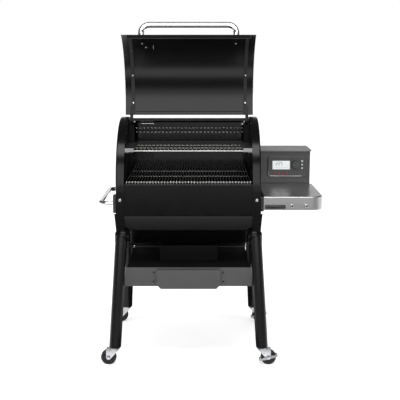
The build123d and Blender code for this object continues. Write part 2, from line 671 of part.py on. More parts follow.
def brake_pedal(x, y, out):
    """Rocker on the axle's ends, with a foot tab ahead of the wheel and a stop tab behind it."""
    axle_x = x + out * TRAIL
    with BuildPart() as pedal:
        for ahead, rise in PEDAL_TABS:
            tab_x, tab_z = axle_x + out * ahead, WHEEL_R + rise
            for y0 in (y - PEDAL_Y - 1.5, y + PEDAL_Y):
                with BuildSketch(front_view(y0)):
                    with Locations((BARREL_X + axle_x, WHEEL_R)):
                        Circle(9)
                    with Locations((BARREL_X + tab_x, tab_z)):
                        Rectangle(5, 7)
                    make_hull()
                extrude(amount=-1.5)
            box(tab_x - 2.2, tab_x + 2.2, y - PEDAL_Y - 1.5, y + PEDAL_Y + 1.5, tab_z - 3.5, tab_z + 3.5)
        rod((axle_x, y - PEDAL_Y - 3, WHEEL_R), (axle_x, y + PEDAL_Y + 3, WHEEL_R), AXLE_R + RUN, mode=Mode.SUBTRACT)
    return pedal.part


CORNERS = {
    "front_left": (-LEG_FOOT_X, FRONT_FOOT_Y, -1),
    "front_right": (LEG_FOOT_X, FRONT_FOOT_Y, 1),
    "rear_left": (-LEG_FOOT_X, REAR_FOOT_Y, -1),
    "rear_right": (LEG_FOOT_X, REAR_FOOT_Y, 1),
}

for corner, place in CORNERS.items():
    export(caster_fork(*place), f"fork_{corner}")
    export(caster_wheel(*place), f"wheel_{corner}")
    if corner.endswith("right"):
        export(brake_pedal(*place), f"brake_{corner}")

# ---------------------------------------------------------------- fire side, under the baffles
AUGER_Y0, AUGER_Y1 = POT_Y + POT_R + 1, 330.0
SHAFT_R, FLIGHT_R = 8.0, 31.0
INLET_Y0, INLET_Y1 = 215.0, 305.0
FAN_X, FAN_Z, FAN_Y0, FAN_Y1 = -178.0, 600.0, 200.0, 262.0
FAN_SHAFT_R = 4.0

with BuildPart() as fire_pot:
    with Locations(at(0, POT_Y, 551.5)):
        Cylinder(POT_R, 79)
        with Locations((0, 0, 4)):
            Cylinder(POT_R - 3, 79, mode=Mode.SUBTRACT)
    with Locations(at(0, POT_Y + POT_R, AUGER_Z)):
        Cylinder(30, 30, rotation=(90, 0, 0), mode=Mode.SUBTRACT)
    with Locations(at(0, POT_Y, 536)):
        for turn in (0, 30, 60, 120, 150):
            Cylinder(3, 3 * POT_R, rotation=(0, 90, turn), mode=Mode.SUBTRACT)
    with Locations(at(0, POT_Y + POT_R, IGNITER_Z)):
        Cylinder(5.2, 20, rotation=(90, 0, 0), mode=Mode.SUBTRACT)
    with BuildPart(mode=Mode.PRIVATE) as igniter:
        rod((0, POT_Y + POT_R - 12, IGNITER_Z), (0, 175, IGNITER_Z), 5)

with BuildPart() as auger_tube:
    rod((0, AUGER_Y0, AUGER_Z), (0, AUGER_Y1, AUGER_Z), AUGER_TUBE_R)
    rod((0, AUGER_Y0 - 1, AUGER_Z), (0, AUGER_Y1 + 1, AUGER_Z), AUGER_TUBE_R - 3, mode=Mode.SUBTRACT)
    box(-30, 30, INLET_Y0, INLET_Y1, AUGER_Z, AUGER_Z + 60, mode=Mode.SUBTRACT)

with BuildPart() as auger:
    rod((0, AUGER_Y0 + 4, AUGER_Z), (0, AUGER_Y1 + 26, AUGER_Z), SHAFT_R)
    for i in range(13):
        with Locations(Location(at(0, AUGER_Y0 + 22 + 19 * i, AUGER_Z), (90, 0, 0))):
            with Locations(Rotation(14, 0, 0)):
                Cylinder(FLIGHT_R, 3)

with BuildPart() as auger_motor:
    box(-42, 42, AUGER_Y1 + 1, AUGER_Y1 + 34, AUGER_Z - 45, AUGER_Z + 45)
    fillet(auger_motor.edges().filter_by(Axis.Y), radius=8)
    rod((0, AUGER_Y1 + 33, AUGER_Z), (0, AUGER_Y1 + 66, AUGER_Z), 30)
    rod((0, AUGER_Y1, AUGER_Z), (0, AUGER_Y1 + 27, AUGER_Z), SHAFT_R + RUN, mode=Mode.SUBTRACT)

with BuildPart() as fan_housing:
    box(FAN_X - 60, FAN_X + 60, FAN_Y0, FAN_Y1, FAN_Z - 60, FAN_Z + 60)
    fillet(fan_housing.edges().filter_by(Axis.Y), radius=12)
    box(FAN_X - 58, FAN_X + 58, FAN_Y0 + 2, FAN_Y1 - 2, FAN_Z - 58, FAN_Z + 58, mode=Mode.SUBTRACT)
    rod((FAN_X, FAN_Y1 - 4, FAN_Z), (FAN_X, FAN_Y1 + 4, FAN_Z), 34, mode=Mode.SUBTRACT)
    box(FAN_X + 20, FAN_X + 52, FAN_Y0 - 4, FAN_Y0 + 4, FAN_Z - 50, FAN_Z - 10, mode=Mode.SUBTRACT)
    rod((FAN_X, FAN_Y0 + 1, FAN_Z), (FAN_X, FAN_Y0 + 50, FAN_Z), FAN_SHAFT_R)

with BuildPart() as fan_impeller:
    rod((FAN_X, FAN_Y0 + 8, FAN_Z), (FAN_X, FAN_Y0 + 11, FAN_Z), 50)
    rod((FAN_X, FAN_Y0 + 8, FAN_Z), (FAN_X, FAN_Y0 + 44, FAN_Z), 12)
    for i in range(12):
        with Locations(Location(at(FAN_X, FAN_Y0 + 26, FAN_Z), (0, 30 * i, 0))):
            with Locations((30, 0, 0)):
                Box(38, 34, 2)
    rod((FAN_X, FAN_Y0 + 7, FAN_Z), (FAN_X, FAN_Y0 + 46, FAN_Z), FAN_SHAFT_R + RUN, mode=Mode.SUBTRACT)

export(Compound([fire_pot.part, igniter.part]), "fire_pot")
export(auger_tube.part, "auger_tube")
export(auger.part, "auger")
export(auger_motor.part, "auger_motor")
export(fan_housing.part, "fan_housing")
export(fan_impeller.part, "fan_impeller")

# ---------------------------------------------------------------- hopper
CHUTE_Z = AUGER_Z + AUGER_TUBE_R + 2
CHUTE_X, CHUTE_Y = 30.0, 45.0          # half sizes of the chute's mouth
CHUTE_MID_Y = (INLET_Y0 + INLET_Y1) / 2
HINGE_R = 3.0
HINGE_Y, HINGE_Z = HOPPER_Y1 + 7.0, HOPPER_TOP_Z + 4.0
KNUCKLES = (-200.0, 232.0)
KNUCKLE_W = 40.0


def bin_solid(inset, top):
    """The bin's inside or outside: a box over a chute that narrows to the auger's inlet."""
    x0, x1 = BARREL_X + HOPPER_X0 + inset, BARREL_X + HOPPER_X1 - inset
    y0, y1 = HOPPER_Y0 + inset, HOPPER_Y1 - inset
    with BuildPart() as body:
        with BuildSketch(Plane.XY.offset(HOPPER_MID_Z)):
            with Locations(((x0 + x1) / 2, (y0 + y1) / 2)):
                Rectangle(x1 - x0, y1 - y0)
        extrude(amount=top - HOPPER_MID_Z)
    with BuildPart() as chute:
        with BuildSketch(Plane.XY.offset(HOPPER_MID_Z)):
            with Locations(((x0 + x1) / 2, (y0 + y1) / 2)):
                Rectangle(x1 - x0, y1 - y0)
        with BuildSketch(Plane.XY.offset(CHUTE_Z)):
            with Locations((BARREL_X, CHUTE_MID_Y)):
                Rectangle(2 * (CHUTE_X - inset), 2 * (CHUTE_Y - inset))
        loft()
    return body.part + chute.part


with BuildPart() as hopper_body:
    add(bin_solid(0, HOPPER_TOP_Z))
    add(bin_solid(SHEET, HOPPER_TOP_Z + 5), mode=Mode.SUBTRACT)
    box(-CHUTE_X + 2, CHUTE_X - 2, INLET_Y0 + 2, INLET_Y1 - 2, CHUTE_Z - 5, CHUTE_Z + 5, mode=Mode.SUBTRACT)
    for x in KNUCKLES:
        for x0 in (x - KNUCKLE_W / 2 - 7, x + KNUCKLE_W / 2 + 1):
            box(x0, x0 + 6, HOPPER_Y1 - 1, HINGE_Y, HINGE_Z - 16, HINGE_Z + 1)
            rod((x0, HINGE_Y, HINGE_Z), (x0 + 6, HINGE_Y, HINGE_Z), 6)
        rod((x - KNUCKLE_W / 2 - 2, HINGE_Y, HINGE_Z), (x + KNUCKLE_W / 2 + 2, HINGE_Y, HINGE_Z), HINGE_R)

LID_Z0, LID_Z1 = HOPPER_TOP_Z + 1.5, HOPPER_TOP_Z + 15.5

with BuildPart() as hopper_lid:
    box(HOPPER_X0 - 4, HOPPER_X1, HOPPER_Y0 - 3, HOPPER_Y1 - 1.5, LID_Z0, LID_Z1)
    fillet(hopper_lid.edges().group_by(Axis.Z)[-1], radius=5)
    fillet(hopper_lid.edges().filter_by(Axis.Z), radius=4)
    box(HOPPER_X0 - 2, HOPPER_X1 - 2, HOPPER_Y0 - 1, HOPPER_Y1 - 3.5, LID_Z0 - 1, LID_Z1 - 2, mode=Mode.SUBTRACT)
    for x in KNUCKLES:
        rod((x - KNUCKLE_W / 2, HINGE_Y, HINGE_Z), (x + KNUCKLE_W / 2, HINGE_Y, HINGE_Z), 6)
        box(x - KNUCKLE_W / 2, x + KNUCKLE_W / 2, HOPPER_Y1 - 3, HINGE_Y, HINGE_Z + 2, HINGE_Z + 6)
        rod((x - KNUCKLE_W / 2 - 1, HINGE_Y, HINGE_Z), (x + KNUCKLE_W / 2 + 1, HINGE_Y, HINGE_Z),
            HINGE_R + RUN, mode=Mode.SUBTRACT)
    box(-60, 60, HOPPER_Y0 + 14, HOPPER_Y0 + 26, LID_Z1 - 1, LID_Z1 + 9)

GUARD_Z = 1060.0

with BuildPart() as hopper_guard:
    for i in range(15):
        x = HOPPER_X0 + 24 + (HOPPER_X1 - HOPPER_X0 - 48) * i / 14
        rod((x, HOPPER_Y0 + SHEET + 0.5, GUARD_Z), (x, HOPPER_Y1 - SHEET - 0.5, GUARD_Z), 2)
    for i in range(5):
        y = HOPPER_Y0 + 24 + (HOPPER_Y1 - HOPPER_Y0 - 48) * i / 4
        rod((HOPPER_X0 + SHEET + 0.5, y, GUARD_Z - 3), (HOPPER_X1 - SHEET - 0.5, y, GUARD_Z - 3), 2)

COVER_Y1 = HOPPER_Y1 - 4
COVER_TOP_Z, COVER_HALF_X = 750.0, 262.0

with BuildPart() as service_cover:
    box(-COVER_HALF_X, COVER_HALF_X, HOPPER_Y0, COVER_Y1, HOPPER_LOW_Z - 30, COVER_TOP_Z)
    fillet(service_cover.edges().filter_by(Axis.Z).group_by(Axis.Y)[-1], radius=12)
    box(-COVER_HALF_X + SHEET, COVER_HALF_X - SHEET, HOPPER_Y0 - 5, COVER_Y1 - SHEET,
        HOPPER_LOW_Z - 28, COVER_TOP_Z + 5, mode=Mode.SUBTRACT)
    with BuildSketch(Plane.XZ.offset(-COVER_Y1 + 10)):
        for middle in (-150, 150):
            with Locations((BARREL_X + middle, 660)):
                with GridLocations(1, 14, 1, 8):
                    SlotOverall(110, 6)
    extrude(amount=-20, mode=Mode.SUBTRACT)

export(hopper_body.part, "hopper_body")
export(hopper_lid.part, "hopper_lid")
export(hopper_guard.part, "hopper_guard")
export(service_cover.part, "service_cover")

# ---------------------------------------------------------------- controller
PANEL_MID = ((PANEL_X0 + PANEL_X1) / 2, (PANEL_Z0 + PANEL_Z1) / 2)


with BuildPart() as controller_housing:
    box(BOX_X0, BOX_X1, BOX_Y0, BOX_Y1, BOX_Z0, BOX_Z1)
    fillet(controller_housing.edges().filter_by(Axis.Z), radius=6)
    box(BOX_X0 + 2, BOX_X1 - 2, BOX_Y0 + 2, BOX_Y1 - 2, BOX_Z0 + 2, BOX_Z1 + 5, mode=Mode.SUBTRACT)
    box(PANEL_X0 + 10, PANEL_X1 - 10, BOX_Y0 - 5, BOX_Y0 + 5, PANEL_Z0 + 10, PANEL_Z1 - 10, mode=Mode.SUBTRACT)
    box(468, 512, BOX_Y1 - 5, BOX_Y1 + 5, 774, 802, mode=Mode.SUBTRACT)

with BuildPart() as controller_hood:
    box(HOOD_X0, HOOD_X1, BOX_Y0 - 10, BOX_Y1 + 6, BOX_Z1 - HOOD_SKIRT, BOX_Z1 + HOOD_CROWN)
    fillet(controller_hood.edges().filter_by(Axis.Z), radius=10)
    fillet(controller_hood.edges().group_by(Axis.Z)[-1], radius=3)
    box(HOOD_X0 + SHEET, HOOD_X1 - SHEET, BOX_Y0 - 8, BOX_Y1 + 4, BOX_Z1 - 10, BOX_Z1 + 0.2, mode=Mode.SUBTRACT)

with BuildPart() as control_panel:
    with BuildSketch(front_view(BOX_Y0 - 0.1)):
        with Locations((BARREL_X + PANEL_MID[0], PANEL_MID[1])):
            RectangleRounded(PANEL_X1 - PANEL_X0, PANEL_Z1 - PANEL_Z0, 15)
    extrude(amount=BOX_Y0 - 0.1 - PANEL_Y)
    fillet(control_panel.edges().group_by(Axis.Y)[0], radius=2)
    with BuildSketch(front_view(BOX_Y0 + 5)):
        with Locations((BARREL_X + DIAL_X, DIAL_Z)):
            Circle(4 + RUN)
        with Locations(*[(BARREL_X + BUTTON_X, z) for z in BUTTON_ZS]):
            Circle(5.4)
        with Locations(*[(BARREL_X + x, JACK_Z) for x in JACK_XS]):
            Circle(5.1)
        with Locations((BARREL_X + LENS_X, LENS_Z)):
            Rectangle(LENS_W - 6, LENS_H - 6)
    extrude(amount=20, mode=Mode.SUBTRACT)

with BuildPart() as display_lens:
    box(LENS_X - LENS_W / 2, LENS_X + LENS_W / 2, PANEL_Y - 1.6, PANEL_Y, LENS_Z - LENS_H / 2, LENS_Z + LENS_H / 2)
    fillet(display_lens.edges().filter_by(Axis.Y), radius=1.5)

with BuildPart() as dial:
    rod((DIAL_X, PANEL_Y - 20, DIAL_Z), (DIAL_X, PANEL_Y - 0.5, DIAL_Z), DIAL_R)
    chamfer(dial.edges().group_by(Axis.Y)[0], length=2.5)
    for i in range(18):
        with Locations(Location(at(DIAL_X, PANEL_Y - 11, DIAL_Z), (0, 20 * i, 0))):
            with Locations((DIAL_R + 1.2, 0, 0)):
                Cylinder(2.2, 14, rotation=(90, 0, 0), mode=Mode.SUBTRACT)
    box(DIAL_X - 1, DIAL_X + 1, PANEL_Y - 21, PANEL_Y - 19.2, DIAL_Z + 8, DIAL_Z + 19, mode=Mode.SUBTRACT)
    rod((DIAL_X, PANEL_Y - 1, DIAL_Z), (DIAL_X, PANEL_Y + 16, DIAL_Z), 4)

with BuildPart() as button:
    rod((BUTTON_X, PANEL_Y - 4, BUTTON_ZS[0]), (BUTTON_X, PANEL_Y + 9, BUTTON_ZS[0]), 5)
    fillet(button.edges().group_by(Axis.Y)[0], radius=1.2)

with BuildPart() as probe_jacks:
    for x in JACK_XS:
        rod((x, PANEL_Y - 4, JACK_Z), (x, PANEL_Y + 12, JACK_Z), 5)
        rod((x, PANEL_Y - 2.5, JACK_Z), (x, PANEL_Y, JACK_Z), 5.8)
        rod((x, PANEL_Y - 5, JACK_Z), (x, PANEL_Y + 10, JACK_Z), JACK_R, mode=Mode.SUBTRACT)

with BuildPart() as circuit_board:
    box(430, 620, 172, 174, 850, 955)
    box(448, 536, 162, 172, 888, 934)
    box(548, 588, 166, 172, 894, 934)
    box(560, 600, 174, 196, 858, 884)
    box(440, 470, 174, 190, 860, 900)
    rod((520, 174, 900), (520, 200, 900), 12)
    for x in (436, 614):
        for z in (856, 949):
            rod((x, 150.1, z), (x, 172, z), 3)

with BuildPart() as power_inlet:
    box(469, 511, BOX_Y1 - 22, BOX_Y1, 775, 801)
    box(463, 517, BOX_Y1, BOX_Y1 + 3, 770, 806)
    box(474, 506, BOX_Y1 - 17, BOX_Y1 + 5, 779, 797, mode=Mode.SUBTRACT)
    for x, z in ((482, 785), (498, 785), (490, 791)):
        box(x - 1, x + 1, BOX_Y1 - 18, BOX_Y1 - 2, z - 2.5, z + 2.5)

export(controller_housing.part, "controller_housing")
export(controller_hood.part, "controller_hood")
export(control_panel.part, "control_panel")
export(display_lens.part, "display_lens")
export(dial.part, "dial")
for i, z in enumerate(BUTTON_ZS):
    export(button.part.moved(Location((0, 0, z - BUTTON_ZS[0]))), f"button_{i + 1}")
export(probe_jacks.part, "probe_jacks")
export(circuit_board.part, "circuit_board")
export(power_inlet.part, "power_inlet")

# ---------------------------------------------------------------- shelf and side handle
APRON_Z = SHELF_TOP_Z - APRON

with BuildPart() as side_shelf:
    box(SHELF_X0, SHELF_X1, SHELF_Y0, SHELF_Y1, APRON_Z, SHELF_TOP_Z)
    right = side_shelf.edges().filter_by(Axis.Z).group_by(Axis.X)[-1].sort_by(Axis.Y)
    fillet(right[0], radius=58)
    fillet(right[-1], radius=30)
    fillet(side_shelf.edges().group_by(Axis.Z)[-1], radius=5)
    offset(amount=-SHEET, openings=side_shelf.faces().sort_by(Axis.Z)[0])

with BuildPart() as side_brackets:
    for y in (SHELF_Y0 + 24, SHELF_Y1 - 24):
        box(CAP_X, SHELF_X0, y - 22, y + 22, APRON_Z - 8, SHELF_TOP_Z - 3)
    fillet(side_brackets.edges().filter_by(Axis.X), radius=6)
    for y in (GRIP_Y0, GRIP_Y1):
        box(-CAP_X - 14, -CAP_X, y - 30, y + 30, 735, 822)
    grips = side_brackets.edges().filter_by(Axis.X).group_by(Axis.X)[0]
    fillet(grips, radius=13)
    for y in (GRIP_Y0, GRIP_Y1):
        rod((-CAP_X - 40, y, GRIP_Z), (-CAP_X - 8, y, GRIP_Z), GRIP_R + 0.05, mode=Mode.SUBTRACT)

with BuildPart() as side_handle:
    with BuildLine() as grip_path:
        FilletPolyline(
            at(-CAP_X - 9, GRIP_Y0, GRIP_Z),
            at(-GRIP_OUT_X, GRIP_Y0, GRIP_Z),
            at(-GRIP_OUT_X, GRIP_Y1, GRIP_Z),
            at(-CAP_X - 9, GRIP_Y1, GRIP_Z),
            radius=34,
        )
    with BuildSketch(Plane(origin=grip_path.line @ 0, z_dir=grip_path.line % 0)):
        Circle(GRIP_R)
        Circle(GRIP_R - 1.5, mode=Mode.SUBTRACT)
    sweep(path=grip_path.line)

PEG_XS, PEG_Z, PEG_R, PEG_HEAD_R = (503.0, 571.0), 770.0, 4.0, 8.0

with BuildPart() as tool_peg:
    rod((PEG_XS[0], SHELF_Y0 - 16, PEG_Z), (PEG_XS[0], SHELF_Y0, PEG_Z), PEG_R)
    rod((PEG_XS[0], SHELF_Y0 - 2, PEG_Z), (PEG_XS[0], SHELF_Y0, PEG_Z), PEG_HEAD_R - 1)
    rod((PEG_XS[0], SHELF_Y0 - 18, PEG_Z), (PEG_XS[0], SHELF_Y0 - 13, PEG_Z), PEG_HEAD_R)
    fillet(tool_peg.edges().group_by(Axis.Y)[0], radius=2)

BOLT_Z = 801.0
DRAWER_SCREW_X, DRAWER_SCREW_ZS = 169.5, (401.0, 447.0)

with BuildPart() as frame_bolts:
    for x in (-330, 330):
        with Locations(at(x, FRONT_Y - PLATE_T - 2, BOLT_Z)):
            Cylinder(6.5, 4, rotation=(90, 0, 0))
    for x in (-DRAWER_SCREW_X, DRAWER_SCREW_X):
        for z in DRAWER_SCREW_ZS:
            with Locations(at(x, BAR_FRONT_Y - 1.25, z)):
                Cylinder(4, 2.5, rotation=(90, 0, 0))
    with Locations(at(284, REAR_WALL_Y - 2.1, 1130)):
        Cylinder(6, 4, rotation=(90, 0, 0))

peg = tool_peg.part
export(side_shelf.part, "side_shelf")
export(side_brackets.part, "side_brackets")
export(side_handle.part, "side_handle")
export(Compound([peg, peg.moved(Location((PEG_XS[1] - PEG_XS[0], 0, 0)))]), "tool_pegs")
export(frame_bolts.part, "frame_bolts")
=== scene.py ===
"""Looks of the pellet smoker grill: finishes, fine trim, floor, lights and camera. Sizes are in metres."""

import json
from math import cos, pi, radians, sin

import bmesh
import bpy
from mathutils import Matrix, Vector


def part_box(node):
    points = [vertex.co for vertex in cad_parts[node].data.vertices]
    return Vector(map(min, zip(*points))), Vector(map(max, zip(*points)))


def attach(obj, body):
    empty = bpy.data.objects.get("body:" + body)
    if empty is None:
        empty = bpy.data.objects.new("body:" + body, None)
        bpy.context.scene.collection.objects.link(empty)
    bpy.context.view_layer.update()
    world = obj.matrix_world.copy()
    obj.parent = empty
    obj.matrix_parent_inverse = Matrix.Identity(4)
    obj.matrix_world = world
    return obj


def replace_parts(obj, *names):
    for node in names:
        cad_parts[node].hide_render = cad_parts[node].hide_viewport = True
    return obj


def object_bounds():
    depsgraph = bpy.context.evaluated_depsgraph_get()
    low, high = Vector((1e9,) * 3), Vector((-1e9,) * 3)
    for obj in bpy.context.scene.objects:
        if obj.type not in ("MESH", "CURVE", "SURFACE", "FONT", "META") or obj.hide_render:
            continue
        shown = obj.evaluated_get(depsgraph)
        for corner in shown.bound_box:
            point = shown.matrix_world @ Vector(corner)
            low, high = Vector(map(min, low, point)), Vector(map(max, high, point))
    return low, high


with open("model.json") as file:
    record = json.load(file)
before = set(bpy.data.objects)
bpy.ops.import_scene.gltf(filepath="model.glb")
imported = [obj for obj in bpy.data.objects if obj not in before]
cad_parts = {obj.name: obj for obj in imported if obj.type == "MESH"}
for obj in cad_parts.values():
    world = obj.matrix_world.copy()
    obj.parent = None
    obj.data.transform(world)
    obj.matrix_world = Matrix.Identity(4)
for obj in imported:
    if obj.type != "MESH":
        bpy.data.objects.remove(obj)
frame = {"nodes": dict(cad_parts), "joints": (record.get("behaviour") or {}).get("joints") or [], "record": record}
cad_low, cad_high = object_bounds()

# ---------------------------------------------------------------- places, from the frame
panel_low, panel_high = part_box("front_panel")
BARREL_X = (panel_low.x + panel_high.x) / 2
CORNERS = ("front_left", "front_right", "rear_left", "rear_right")
FRONT = Vector((0, -1, 0))
UP = Vector((0, 0, 1))

# barrel and lid, as in the CAD model
ARCH = Vector((0, 0.016, 0.843))       # middle of the barrel's arch, at the barrel's middle
LID_INNER_R = 0.337
HINGE = next(joint for joint in frame["joints"] if joint["name"] == "lid_hinge")
REAR_WALL_Y = 0.156
BRACKET_FACE_Y = -0.3215
VENTS, VENT_PITCH, VENT_W, VENT_H, VENT_Z = 29, 0.0202, 0.011, 0.021, 1.0975
LEDGE_X, LEDGE_Z = -0.2265, 1.1315     # pressed ledge above the vents
FUNNEL_Y, FUNNEL_Z = -0.028, 0.5035    # front of the funnel's lowest edge
LIP_Y, LIP_Z = -0.3112, 0.880          # middle of the closed lid's front lip, underneath
SEAM_X, SEAM_ANGLE = 0.279, 95.1       # ends of the lid's rear seam
BRACKET_BOLT_X, BRACKET_BOLT_Z = 0.33, 0.801
WALL_BOLT_X, WALL_BOLT_Z = 0.284, 1.130
BAR_SCREW_X, BAR_SCREW_ZS = 0.1695, (0.401, 0.447)


def at(x, y, z):
    """Point with x from the barrel's middle."""
    return Vector((BARREL_X + x, y, z))


LID_TURN = Matrix.Rotation(-radians(HINGE["range_deg"][1]), 3, "X")


def opened(closed):
    """Where a point of the closed lid is on the open lid."""
    pin = Vector(HINGE["pos_m"])
    pin.x = closed.x
    return pin + LID_TURN @ (closed - pin)


def on_lid(x, angle, radius):
    """Point and inward direction on the open lid, at that angle and radius of the closed lid's arc."""
    outward = Vector((0, cos(radians(angle)), sin(radians(angle))))
    return opened(at(x, ARCH.y, ARCH.z) + radius * outward), -(LID_TURN @ outward)


# ---------------------------------------------------------------- finishes
MIX_FACTOR, MIX_FIRST, MIX_SECOND, MIX_RESULT = 0, 6, 7, 2     # a Mix node's colour sockets


def rgba(colour):
    """Colour with full opacity; a socket stays as it is."""
    return colour if isinstance(colour, bpy.types.NodeSocket) else (*colour, 1)


class Finish:
    """A node material built up over one Principled shader; sizes are in metres on the object."""

    def __init__(self, name, colour=(0.5, 0.5, 0.5), roughness=0.5, metallic=0.0, specular=0.5):
        self.material = bpy.data.materials.new(name)
        self.material.use_nodes = True
        self.tree = self.material.node_tree
        self.shader = self.tree.nodes["Principled BSDF"]
        self.set("Base Color", (*colour, 1))
        self.set("Roughness", roughness)
        self.set("Metallic", metallic)
        self.set("Specular IOR Level", specular)
        self.place = self.node("ShaderNodeTexCoord").outputs["Object"]

    def set(self, socket, value):
        """One value that is the same all over."""
        self.shader.inputs[socket].default_value = value

    def node(self, kind, inputs=None, **settings):
        """New node; each input is linked, where it is given a socket, or else set to the value."""
        made = self.tree.nodes.new(kind)
        for name, value in settings.items():
            setattr(made, name, value)
        for name, value in (inputs or {}).items():
            if isinstance(value, bpy.types.NodeSocket):
                self.tree.links.new(value, made.inputs[name])
            else:
                made.inputs[name].default_value = value
        return made

    def drive(self, socket, output):
        """Feeds one of the shader's sockets with something that varies over the surface."""
        self.tree.links.new(output, self.shader.inputs[socket])

    def noise(self, size, detail=3.0, stretch=(1, 1, 1)):
        """Noise with features of that size, longer by the stretch along each axis."""
        scale = tuple(1 / s for s in stretch)
        mapped = self.node("ShaderNodeMapping", {"Vector": self.place, "Scale": scale})
        made = self.node(
            "ShaderNodeTexNoise",
            {"Vector": mapped.outputs["Vector"], "Scale": 1 / size, "Detail": detail},
        )
        return made.outputs["Fac"]

    def cells(self, size):
        """Voronoi cells of that size: distance from the nearest point."""
        made = self.node("ShaderNodeTexVoronoi", {"Vector": self.place, "Scale": 1 / size})
        return made.outputs["Distance"]

    def remap(self, value, low, high, start=0.35, end=0.65):
        """Values from start to end become low to high."""
        made = self.node(
            "ShaderNodeMapRange",
            {"Value": value, "From Min": start, "From Max": end, "To Min": low, "To Max": high},
        )
        return made.outputs["Result"]

    def mix(self, mask, first, second):
        """First colour where the mask is 0, second where it is 1."""
        inputs = {MIX_FACTOR: mask, MIX_FIRST: rgba(first), MIX_SECOND: rgba(second)}
        return self.node("ShaderNodeMix", inputs, data_type="RGBA").outputs[MIX_RESULT]

    def times(self, first, second):
        """Product of two values."""
        return self.node("ShaderNodeMath", {0: first, 1: second}, operation="MULTIPLY").outputs["Value"]

    def edges(self, radius):
        """1 along the piece's corners and edges, 0 on its flats."""
        rounded = self.node("ShaderNodeBevel", {"Radius": radius}, samples=4)
        flat = self.node("ShaderNodeNewGeometry")
        made = self.node(
            "ShaderNodeVectorMath",
            {0: rounded.outputs["Normal"], 1: flat.outputs["Normal"]},
            operation="DOT_PRODUCT",
        )
        return self.remap(made.outputs["Value"], 1, 0, 0.8, 0.99)

    def bump(self, height, depth):
        """Relief of that depth where the height goes from 0 to 1."""
        made = self.node("ShaderNodeBump", {"Height": height, "Distance": depth, "Strength": 1.0})
        self.drive("Normal", made.outputs["Normal"])


def coated(name, colour, roughness, peel=0.00002, grain=0.0015, specular=0.5):
    """Satin paint or enamel: orange peel, slightly uneven gloss and rubbed edges."""
    f = Finish(name, specular=specular)
    faded = tuple(min(1, c * 1.25 + 0.001) for c in colour)
    bare = tuple(min(1, c * 3 + 0.02) for c in colour)
    body = f.mix(f.remap(f.noise(0.09, 4), 0, 0.35), colour, faded)
    rubbed = f.times(f.edges(0.0012), f.remap(f.noise(0.03, 5), 0, 0.25, 0.45, 0.7))
    f.drive("Base Color", f.mix(rubbed, body, bare))
    f.drive("Roughness", f.remap(f.noise(0.05, 6), roughness * 0.93, roughness * 1.08))
    f.bump(f.noise(grain, 2), peel)
    return f.material


def black_enamel():
    """Glossy black enamel of the barrel's outside."""
    return coated("black_enamel", (0.0015, 0.0016, 0.0017), 0.2, specular=0.22)


def lid_enamel():
    """The lid's enamel: black outside, and inside with a thin film of smoke."""
    f = Finish("lid_enamel", specular=0.3)
    film = f.noise(0.12, 5, (1.6, 1, 1))
    f.drive("Base Color", f.mix(f.remap(film, 0, 1), (0.003, 0.003, 0.0032), (0.0042, 0.0042, 0.0042)))
    f.drive("Roughness", f.remap(f.noise(0.06, 6), 0.2, 0.23))
    f.bump(f.noise(0.0016, 2), 0.00002)
    return f.material


def chamber_enamel(name, roughness, drip):
    """Enamelled inside of the cooking box: smooth, with a few fine drips down its walls."""
    f = Finish(name, specular=0.24)
    drips = f.noise(0.014, 3, (1, 1, 12))
    film = f.noise(0.08, 4)
    streaks = f.mix(f.remap(drips, 0, 1, 0.5, 0.62), (0.001, 0.001, 0.0011), (0.009, 0.009, 0.0088))
    f.drive("Base Color", f.mix(f.remap(film, 0, 1), streaks, (0.0018, 0.0017, 0.0017)))
    f.drive("Roughness", f.remap(film, roughness * 0.85, roughness * 1.2))
    f.bump(drips, drip)
    return f.material


def dull_paint(name, colour, roughness):
    """Flat dark paint with next to no sheen."""
    f = Finish(name, specular=0.12)
    cloud = f.noise(0.1, 4)
    f.drive("Base Color", f.mix(f.remap(cloud, 0, 1), colour, tuple(c * 1.3 for c in colour)))
    f.drive("Roughness", f.remap(cloud, roughness * 0.92, roughness * 1.08))
    f.bump(f.noise(0.001, 2), 0.00003)
    return f.material


def powder_coat(name, colour, roughness=0.42, specular=0.5):
    """Baked powder paint, with a coarser peel and a finer grain than enamel."""
    return coated(name, colour, roughness, peel=0.00006, grain=0.0009, specular=specular)


def nickel_wire(name="nickel_wire", front=None):
    """Plated wire, dulled by heat; behind the front edge, where that is given, it is painted darker as the shade
    inside the cooking box.
    """
    f = Finish(name, metallic=1.0)
    colour = f.mix(f.remap(f.noise(0.05, 4), 0, 1), (0.50, 0.50, 0.51), (0.40, 0.39, 0.37))
    if front is not None:
        depth = f.node("ShaderNodeSeparateXYZ", {"Vector": f.place}).outputs["Y"]
        # painted shade: the wire behind its front edge is darkened to stand in for the shade inside the cooking
        # box
        colour = f.mix(f.remap(depth, 0, 1, front, front + 0.004), colour, (0.15, 0.147, 0.14))
    f.drive("Base Color", colour)
    f.drive("Roughness", f.remap(f.noise(0.02, 3), 0.16, 0.24))
    f.bump(f.noise(0.004, 2), 0.00001)
    return f.material


def dull_steel(name, colour):
    """Plated sheet steel with a soft sheen."""
    f = Finish(name, metallic=1.0)
    film = f.noise(0.02, 4)
    f.drive("Base Color", f.mix(f.remap(film, 0, 1), colour, tuple(c * 0.8 for c in colour)))
    f.drive("Roughness", f.remap(film, 0.3, 0.4))
    f.bump(f.noise(0.003, 2), 0.00001)
    return f.material


def chrome():
    """Polished plate with faint smears and a very slight ripple."""
    f = Finish("bright_chrome", (0.83, 0.83, 0.85), metallic=1.0)
    f.drive("Roughness", f.remap(f.noise(0.03, 6), 0.056, 0.105))
    f.bump(f.noise(0.006, 2), 0.000004)
    return f.material


